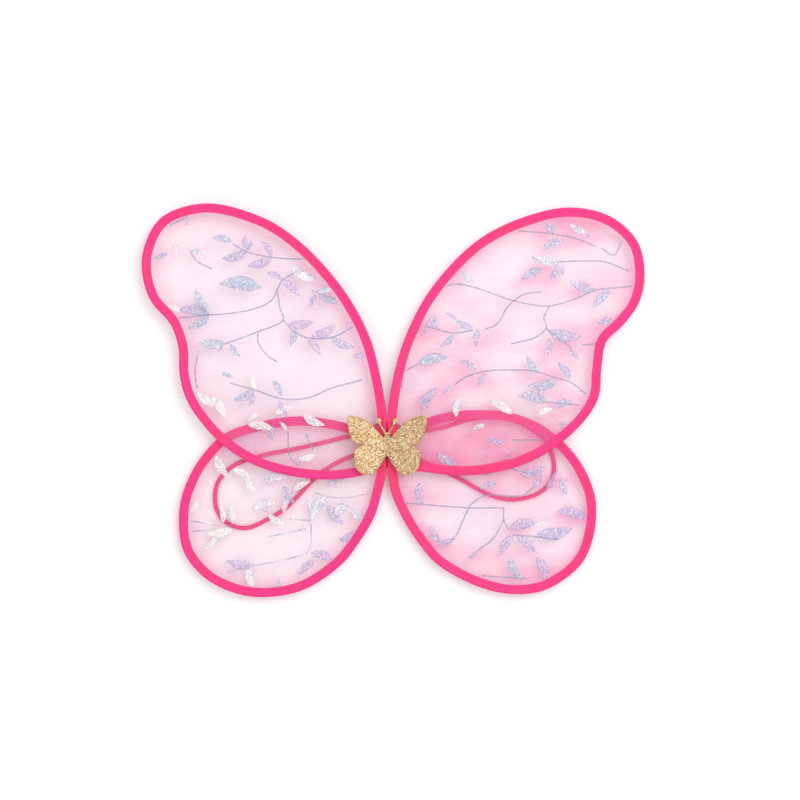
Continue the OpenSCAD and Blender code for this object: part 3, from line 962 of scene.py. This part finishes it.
def vine(route, seed, pale):
    """A stem: a thin raised ribbon that wavers in width. Its mean tone is pale."""
    line = smooth_line(led(np.array(route, float) * MM), 1.6 * MM)
    line = np.column_stack([line, np.zeros(len(line))])
    half = np.array([0.72 + 0.2 * wave(i * 0.45, seed, 2) for i in range(len(line))]) * MM
    rims = aside(line, half), aside(line, -half)
    points = np.stack([rims[0], line + (0, 0, 0.1 * MM), rims[1]], axis=1).reshape(-1, 3)
    tone = np.array([pale + 0.35 * wave(i * 0.12, seed, 8) for i in range(len(line))])
    data = np.column_stack([np.repeat(tone, 3), np.zeros(len(points)), np.ones(len(points))])
    return points, quads(len(line), 3, closed=False), data


def foil(wing, cloth, material):
    """The wing's foil print: leaves and stems that lie on the cloth."""
    parts = [leaf(*row, seed) for seed, row in enumerate(LEAVES[wing])]
    parts += [vine(route, seed, STEM_TONE[wing]) for seed, route in enumerate(STEMS[wing])]
    points, faces, data = joined(parts)
    tree = BVHTree.FromPolygons(
        [v.co for v in cloth.data.vertices], [tuple(p.vertices) for p in cloth.data.polygons])
    ring = outline(wing + "_panel")
    reach = edge_distance(ring, points[:, 0], points[:, 1])
    clear = inside(ring, points[:, 0], points[:, 1]) & (reach > FOIL_MARGIN)
    for p in points:
        hit = tree.ray_cast(Vector((p[0], p[1], 1)), Vector((0, 0, -1)))[0]
        p[2] += LEAF_LIFT + (hit.z if hit else wing_level(wing))
    faces = [f for f in faces if all(clear[list(f)])]
    used = sorted({v for f in faces for v in f})
    index = {v: i for i, v in enumerate(used)}
    faces = [tuple(index[v] for v in f) for f in faces]
    obj = piece(wing + "_foil", (points[used], faces, data[used]), material, body_of(wing), "sheer")
    thick = obj.modifiers.new("thickness", "SOLIDIFY")
    thick.thickness = FOIL_THICK
    thick.offset = 0


# ---------------------------------------------------------------- butterfly
BUTTERFLY_HALF = (
    (0, -10), (4, -16), (8, -22), (12.5, -27.5), (19.5, -29.5), (26.5, -27.5), (31, -22.5), (33, -14),
    (32.5, -6.5), (28.5, -2), (23.5, 0.5), (30.5, 2), (35.5, 7.5), (38.5, 17), (39.5, 25.5), (38.5, 29),
    (34.5, 29.5), (26, 27), (16.5, 21), (8.5, 13), (3, 7), (2.5, 9.5), (1.5, 12.5),
)
# Corners of BUTTERFLY_HALF that stay sharp, and the top of the head.
SHARP_CORNERS = {0, 10, 20, len(BUTTERFLY_HALF) - 1}
HEAD_TOP = (0, 12.9)
GLITTER_SPACING = 0.75 * MM

# An antenna's route, its half width, and the ball at its end: its radius, and the steps over it.
ANTENNA = ((1.2, 10.8), (3.4, 14.6), (6.0, 19.4), (8.4, 24.4))
ANTENNA_HALF = 0.95 * MM
BALL = 2.75 * MM
BALL_STEPS = np.array([0.6, 1.2, 1.7, 2.1, 2.4, 2.5]) * MM


def butterfly_rise(x):
    """Height of the butterfly's face above its middle: each half curls up towards its tips."""
    out = np.abs(x) / MM
    curl = 0.12 * out + 0.0008 * out ** 2
    return (curl - 0.5 * np.exp(-((out - 1.0) / 2.2) ** 2)) * MM


def butterfly_half(side, faces_up, edge):
    """Half of the glitter butterfly, which curls up towards its tips."""
    low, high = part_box("butterfly")
    corners = [np.array(p, float) for p in BUTTERFLY_HALF]
    ring = []
    for i, (corner, following) in enumerate(zip(corners, corners[1:])):
        ahead = (following - corner) * 0.01
        before = corner - ahead if i in SHARP_CORNERS else corners[i - 1]
        after = following + ahead if i + 1 in SHARP_CORNERS else corners[i + 2]
        ring.extend(smooth_line([before, corner, following, after], 0.8)[:-1])
    ring = np.array([*ring, corners[-1], HEAD_TOP]) * MM
    ring[:, 0] *= SIGN[side]
    ring = ring if side == "right" else ring[::-1]
    flat, faces = filled(ring, GLITTER_SPACING)
    x, y = flat[:, 0], flat[:, 1]
    away = edge_distance(ring, x, y)
    away = np.where(np.abs(x) < 1e-6, 1, away)
    rounded = 0.35 * MM * (1 - np.clip(away / (0.9 * MM), 0, 1)) ** 2
    grit = 0.09 * MM * ripple(x, y, 1900.0, 3.0)
    top = high[2] + butterfly_rise(x) - rounded + grit * (np.abs(x) > 0.3 * MM)
    bottom = low[2] + butterfly_rise(x) + rounded * 0.5
    count = len(flat)
    points = np.vstack([np.column_stack([x, y, top]), np.column_stack([x, y, bottom])])
    rim = [int(np.argmin(np.hypot(x - p[0], y - p[1]))) for p in ring]
    rim = [a for a, b in zip(rim, rim[1:] + rim[:1]) if a != b]
    up = [tuple(f) for f in faces]
    down = [tuple(count + v for v in reversed(f)) for f in faces]
    wall = [(a, a + count, b + count, b) for a, b in zip(rim, rim[1:] + rim[:1])]
    shape = (points, up + down + wall, points / MM)
    obj = piece(f"butterfly_{side}", shape, faces_up, None, "glitter")
    obj.data.materials.append(edge)
    obj.data.polygons.foreach_set("material_index", [0] * len(up) + [1] * (len(down) + len(wall)))
    obj.data.polygons.foreach_set("use_smooth", [True] * (len(up) + len(down)) + [False] * len(wall))
    bend_with_wing(obj)
    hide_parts("butterfly")
    feeler(side, faces_up)


def bend_with_wing(obj):
    """Bakes a piece of the butterfly's placement into its mesh."""
    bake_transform(obj)


def feeler(side, material):
    """An antenna: a narrow strip with a round end, cut from the same sheet."""
    low, high = (corner[2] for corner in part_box("butterfly"))
    flat = (high - low) / 2
    route = [np.array([SIGN[side] * x, y, 0]) * MM for x, y in ANTENNA]
    line = smooth_line(led(route), 0.6 * MM)
    line[:, 2] = high - flat
    run = distances(line)
    run = np.concatenate([run, run[-1] + BALL_STEPS])
    stop = run[-1]
    line = np.vstack([line, line[-1] + headings(line)[-1] * BALL_STEPS[:, None]])

    def section(i):
        from_ball = (run[i] - (stop - BALL)) / BALL
        ball = BALL * math.sqrt(max(0.02, 1 - from_ball ** 2)) if abs(from_ball) < 1 else 0
        half = max(ANTENNA_HALF, ball) if run[i] < stop - 0.3 * MM else ball
        return [(-half, 0), (-half * 0.93, -flat * 0.8), (-half * 0.75, -flat), (half * 0.75, -flat),
                (half * 0.93, -flat * 0.8), (half, 0), (half * 0.93, flat * 0.8), (half * 0.75, flat),
                (0, flat * 1.08), (-half * 0.75, flat), (-half * 0.93, flat * 0.8)]

    bend_with_wing(piece(f"butterfly_feeler_{side}", sweep(line, section), material, None, "glitter"))


# ------------------------------------------------------------------- straps
# The cords' diameter, and in millimetres the pad's edge, the ends' distance from the middle line,
# their height and their depth in the pad. Then the sides of a cord's mesh and the step along it.
CORD = 4.4 * MM
PAD_EDGE = 17
CORD_END = 12
CORD_LEVEL = 3.4
SOCKET = 8
CORD_SIDES = 20
CORD_STEP = 0.55 * MM
STRAP_ROUTES = {
    "left": (
        (-28, 10, 2.7), (-40, 8, 2.2), (-87, -3, 2.2), (-123, -10, 2.2), (-143, -16, 2.2), (-156, -22, 2.2),
        (-165, -30, 2.2), (-171, -40, 2.2), (-173, -53, 2.2), (-171, -66, 2.2), (-163, -77, 2.2),
        (-150, -83, 2.2), (-138, -83, 2.2), (-124, -77, 2.2), (-105, -66, 2.2), (-92, -54, 2.2),
        (-76, -37, 2.2), (-62, -25, 2.2), (-42, -14, 2.2), (-28, -10, 2.7),
    ),
    "right": (
        (28, 13, 2.7), (44, 15, 2.2), (58, 18, 2.2), (82, 25, 2.2), (106, 28, 2.2), (128, 25, 2.2),
        (146, 15, 2.2), (158, 5, 2.2), (165, -7, 2.2), (168, -22, 2.2), (165, -36, 2.2), (155, -47, 2.2),
        (141, -53, 2.2), (123, -55, 2.2), (105, -51, 2.2), (92, -45, 2.2), (78, -37, 2.2), (64, -30, 2.2),
        (46, -21, 2.2), (28, -13, 2.7),
    ),
}


def strap(side, material):
    """A braided elastic arm loop, from one socket in the pad round to the other."""
    sign = SIGN[side]
    ends = [(sign * x, CORD_END, CORD_LEVEL) for x in (PAD_EDGE - SOCKET, PAD_EDGE + 0.5, PAD_EDGE + 3)]
    back = [(x, -y, z) for x, y, z in reversed(ends)]
    route = [*ends, *STRAP_ROUTES[side], *back]
    guide = np.array([sign * 20, 0, 0])
    route = [route[0] - guide, *route, route[-1] - guide]
    line = smooth_line([np.array(p) * MM for p in route], CORD_STEP)
    along = distances(line) / MM
    angles = np.arange(CORD_SIDES) * 2 * math.pi / CORD_SIDES

    def section(i):
        one = np.sin(BRAID_STRANDS * angles + along[i] * BRAID_TURN)
        two = np.sin(BRAID_STRANDS * angles - along[i] * BRAID_TURN)
        radius = CORD / 2 - 0.1 * MM + 0.08 * MM * np.maximum(one, two)
        return np.column_stack([radius * np.cos(angles), radius * np.sin(angles)])

    points, faces, weave = sweep(line, section)
    weave[:, 1] = np.tile(BRAID_STRANDS * angles, len(line))
    obj = piece(f"strap_{side}_elastic", (points, faces, weave), material, "centre", "strap_elastic")
    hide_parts(f"strap_{side}")
    print(f"strap {side}: {along[-1]:.0f} mm")


# ---------------------------------------------------------------------- pad
PAD_CORNER = 12 * MM
PAD_STITCHES = 44
BLOCK_ROWS = 7
BLOCK_RINGS = 6


def rounded_block(low, high, corner, rim, crown):
    """A crowned block with rounded plan corners and rims, as (points, faces, weave)."""
    centre = (np.array(low) + np.array(high)) / 2
    half = (np.array(high) - np.array(low)) / 2
    ring = []
    for quarter in range(4):
        turn = quarter * math.pi / 2
        cx = (half[0] - corner) * (1 if quarter in (0, 3) else -1)
        cy = (half[1] - corner) * (1 if quarter < 2 else -1)
        for a in np.linspace(0, math.pi / 2, 9):
            ring.append((cx + corner * math.cos(turn + a), cy + corner * math.sin(turn + a)))
    ring = np.array(ring)
    rows = []
    for a in np.linspace(-math.pi / 2, math.pi / 2, BLOCK_ROWS):
        rows.append((ring * (1 - rim * (1 - math.cos(a)) / half[:2]), half[2] * math.sin(a)))
    points = []
    for flat, height in rows:
        points.extend((centre[0] + x, centre[1] + y, centre[2] + height) for x, y in flat)
    count = len(ring)
    faces = quads(len(rows), count)
    for end, sign in ((0, -1), (len(rows) - 1, 1)):
        flat, height = rows[end]
        last = [end * count + j for j in range(count)]
        for k in range(1, BLOCK_RINGS):
            share = 1 - k / BLOCK_RINGS
            base = len(points)
            lift = crown * (1 - share ** 2) if sign > 0 else 0
            level = centre[2] + height + lift
            points.extend((centre[0] + x * share, centre[1] + y * share, level) for x, y in flat)
            new = [base + j for j in range(count)]
            for j in range(count):
                quad = (last[j], last[(j + 1) % count], new[(j + 1) % count], new[j])
                faces.append(quad if sign > 0 else quad[::-1])
            last = new
        middle = len(points)
        points.append((centre[0], centre[1], centre[2] + height + (crown if sign > 0 else 0)))
        for j in range(count):
            tri = (last[j], last[(j + 1) % count], middle)
            faces.append(tri if sign > 0 else tri[::-1])
    points = np.array(points)
    return points, faces, points / MM


PUFF = 0.4 * MM
PUFF_FRAMES = 14
PUFF_PRESSURE = 4.0
PUFF_HELD = 0.86


def puff(obj, floor, most):
    """Fills a sewn layer with a cloth simulation held at its rim and below floor, and keeps its
    rise under most."""
    mesh = obj.data
    before = np.array([v.co for v in mesh.vertices])
    half = np.abs(before[:, :2]).max(axis=0)
    outer = np.max(np.abs(before[:, :2]) / half, axis=1) > PUFF_HELD
    held = [int(i) for i in np.flatnonzero(outer | (before[:, 2] < floor + 0.2 * MM))]
    group = obj.vertex_groups.new(name="rim")
    group.add(held, 1.0, "REPLACE")
    cloth = obj.modifiers.new("cloth", "CLOTH")
    cloth.settings.vertex_group_mass = "rim"
    cloth.settings.use_pressure = True
    cloth.settings.uniform_pressure_force = PUFF_PRESSURE
    cloth.settings.effector_weights.gravity = 0
    scene = bpy.context.scene
    for number in range(1, PUFF_FRAMES + 1):
        scene.frame_set(number)
    final = obj.evaluated_get(bpy.context.evaluated_depsgraph_get())
    after = np.array([v.co for v in final.data.vertices])
    obj.modifiers.remove(cloth)
    scene.frame_set(1)
    rise = after[:, 2] - before[:, 2]
    scale = most / max(np.max(np.abs(rise)), 1e-9)
    moved = np.max(np.abs(rise)) / MM
    print(f"{obj.name}: the simulation moved it {moved:.2f} mm, kept x {min(1, scale):.3f}")
    before[:, 2] += np.clip(rise * min(1, scale), 0, most)
    for vertex, place in zip(mesh.vertices, before):
        vertex.co = place


def pad(felt, foam, sewing):
    """The back pad: felt, foam and felt, held by a blanket stitch round the rim."""
    for name, material, slot, rim, crown in (
        ("pad_backing", felt, "felt", 0.5 * MM, 0.0),
        ("pad_foam", foam, "foam", 0.9 * MM, 0.0),
        ("pad_cover", felt, "felt", 0.4 * MM, 0.15 * MM),
    ):
        low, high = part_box(name)
        shape = rounded_block(low, high, PAD_CORNER, rim, crown)
        obj = piece(name + "_layer", shape, material, "centre", slot)
        if name == "pad_cover":
            puff(obj, low[2], PUFF)
        smooth = obj.modifiers.new("smooth", "SUBSURF")
        smooth.levels = smooth.render_levels = 1
        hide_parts(name)
    low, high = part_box("pad_backing")[0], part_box("pad_cover")[1]
    top = high[2] + 0.02 * MM
    parts = []
    for k in range(PAD_STITCHES):
        turn = 2 * math.pi * (k + 0.5) / PAD_STITCHES
        edge = np.array(squared(turn, (high[0] - low[0]) / 2, (high[1] - low[1]) / 2, PAD_CORNER))
        out = edge / math.hypot(*edge) * MM
        hole = edge - 1.6 * out
        rim = edge + 0.105 * out
        run = [(*hole, top - 0.2 * MM), (*hole, top), (*rim, top - 0.3 * MM),
               (*(edge + 0.21 * out), (low[2] + top) / 2), (*rim, low[2] + 0.35 * MM)]
        parts.append(upright_thread(run, (-edge[1], edge[0], 0)))
    piece("pad_stitches", joined(parts), sewing, "centre", "felt")


def squared(turn, half_x, half_y, corner):
    """The point of a rounded rectangle's edge in this direction."""
    way = np.array([math.cos(turn), math.sin(turn)])
    scale = min(half_x / max(abs(way[0]), 1e-9), half_y / max(abs(way[1]), 1e-9))
    x, y = way * scale
    over_x, over_y = abs(x) - (half_x - corner), abs(y) - (half_y - corner)
    if over_x > 0 and over_y > 0:
        size = math.hypot(over_x, over_y)
        x = math.copysign(half_x - corner + over_x / size * corner, x)
        y = math.copysign(half_y - corner + over_y / size * corner, y)
    return x, y


def side_sweep(line, side, section):
    """A closed solid along a line that may stand up. The section's rows are (along side, off the
    surface)."""
    side = np.array(side) / np.linalg.norm(side)
    section = np.array(section)
    count = len(section)
    way = headings(line)
    points, weave = [], []
    for here, ahead, run in zip(line, way, distances(line)):
        off = np.cross(ahead, side)
        points.extend(here + section[:, :1] * side + section[:, 1:] * off)
        weave.extend((run / MM, across / MM, 0) for across in section[:, 0])
    faces = quads(len(line), count, flip=True)
    last = (len(line) - 1) * count
    faces.append(tuple(range(count)))
    faces.append(tuple(last + j for j in range(count - 1, -1, -1)))
    return np.array(points), faces, np.array(weave)


def upright_thread(route, side):
    """A sewing thread through the points of a route that goes up or down a wall."""
    line = smooth_line(led([np.array(p) for p in route]), 0.5 * MM)
    return side_sweep(line, side, oval(0.2 * MM, 0.2 * MM))


# --------------------------------------------------------------- root bands
# Distance of the roots from the middle line, radius of a band's middle layer round a sleeve, half
# a band's thickness, the keepers' distance from the middle, and the bands' widths.
ROOT_X = 2.2 * MM
RING = 1.79 * MM
BAND = 0.21 * MM
KEEPER_Y = 5.5 * MM
KEEPER_WIDE = 4 * MM
WRAP_WIDE = 6 * MM


def ribbon(route, y, wide):
    """A folded tape band along a route of (x, z) points: selvedges rounded, middle a little hollow."""
    line = np.array([(x, y, z) for x, z in route])
    half = wide / 2
    across = half * np.array([-1, -0.97, -0.86, -0.5, 0, 0.5, 0.86, 0.97, 1])
    thick = BAND * np.array([0, 0.7, 1.05, 0.95, 0.85, 0.95, 1.05, 0.7, 0])
    outside = list(zip(across, thick))
    return side_sweep(line, (0, 1, 0), outside[:-1] + list(zip(across[::-1], -thick))[:-1])


def arc(x, z, radius, start, stop):
    """Points of a circle in the X-Z plane, with angles in degrees from +X towards +Z."""
    count = max(3, int(abs(stop - start) / 9))
    angles = np.radians(np.linspace(start, stop, count))
    return [(x + radius * math.cos(a), z + radius * math.sin(a)) for a in angles]


def straight(a, b):
    """Six points on the way from a to b, without b."""
    return [tuple(np.array(a) + (np.array(b) - np.array(a)) * k / 6) for k in range(6)]


def keeper_route(side, foot, hinge, top):
    """Up from the pad, outwards round one upper sleeve and back over it to the middle."""
    sign = SIGN[side]
    rise = (sign * BAND * 1.05, foot)
    ring = [(sign * x, z) for x, z in arc(ROOT_X, hinge, RING, 218, 450)]
    back = [(sign * ROOT_X * 0.5, top), (sign * 0.1 * MM, top)]
    return [*straight(rise, (rise[0], ring[0][1] - 0.7 * MM)), *ring, *back]


def root_bands(material, sewing):
    """Sewn tape bands: two keepers on the pad's spine that the upper sleeves turn in, and a band
    round both roots of each side."""
    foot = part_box("pad_cover")[1][2]
    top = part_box("spine_keepers")[1][2] - BAND
    hinge = middle_height("upper_left_ferrule")
    root = middle_height("lower_left_ferrule")
    parts, threads = [], []
    for y in (-KEEPER_Y, KEEPER_Y):
        for side in SIDES:
            parts.append(ribbon(keeper_route(side, foot, hinge, top), y, KEEPER_WIDE))
        for k in (-1, 0, 1):
            at = y + k * KEEPER_WIDE * 0.3
            for sign in (-1, 1):
                end = (sign * 0.45 * MM, foot + 1.1 * MM)
                run = [(end[0], at - 0.5 * MM, end[1]), (sign * 0.52 * MM, at, foot + 1.3 * MM),
                       (end[0], at + 0.5 * MM, end[1])]
                threads.append(upright_thread(run, (0, 0, 1)))
    bands = piece("spine_bands", joined(parts), material, "centre", "binding_tape")
    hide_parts("spine_keepers")
    piece("spine_stitches", joined(threads), sewing, "centre", "binding_tape")
    for side in SIDES:
        x = SIGN[side] * ROOT_X
        down = straight((x - RING, hinge - 0.5 * MM), (x - RING, root + 0.5 * MM))
        up = straight((x + RING, root + 0.5 * MM), (x + RING, hinge + 0.3 * MM))
        loop = [*arc(x, hinge, RING, 0, 180), *down, *arc(x, root, RING, 180, 360), *up]
        shape = ribbon(loop, 0, WRAP_WIDE)
        band = piece(f"root_band_{side}", shape, material, f"lower_{side}_wing", "binding_tape")
        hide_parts(f"root_wrap_{side}")


def glue_bead(material):
    """The squashed bead of glue under the butterfly's body."""
    low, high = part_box("butterfly_glue")
    points, faces, weave = rounded_block(low, high, 1.2 * MM, 0.3 * MM, 0.0)
    middle = (np.array(low) + np.array(high)) / 2
    swell = 1 + 0.09 * ripple(points[:, 0], points[:, 1], 420.0, 9.0)
    points[:, :2] = middle[:2] + (points[:, :2] - middle[:2]) * swell[:, None] * 0.97
    bead = piece("glue_bead", (points, faces, weave), material, "centre", "glue")
    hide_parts("butterfly_glue")


# -------------------------------------------------------------------- build
camera()
elastic = braided_elastic()
for side in SIDES:
    strap(side, elastic)
studio()

satin, sewing, organza, print_foil = satin_tape(), thread(), sheer_organza(), leaf_foil()
glitter, core, felt, foam = gold_glitter(), cut_edge(), pressed_felt(), foam_cells()

for wing in WINGS:
    line = tape(wing, satin)
    stitches(wing, line, sewing)
    cloth, size, area = panel(wing, organza)
    foil(wing, cloth, print_foil)

for side in SIDES:
    butterfly_half(side, glitter, core)
pad(felt, foam, sewing)
root_bands(satin, sewing)
glue_bead(hot_glue())

steel, sleeve = galvanised_wire(), crimped_sleeve()
for wing in WINGS:
    for part, material in (("wire", steel), ("ferrule", sleeve)):
        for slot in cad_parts[f"{wing}_{part}"].material_slots:
            slot.material = material
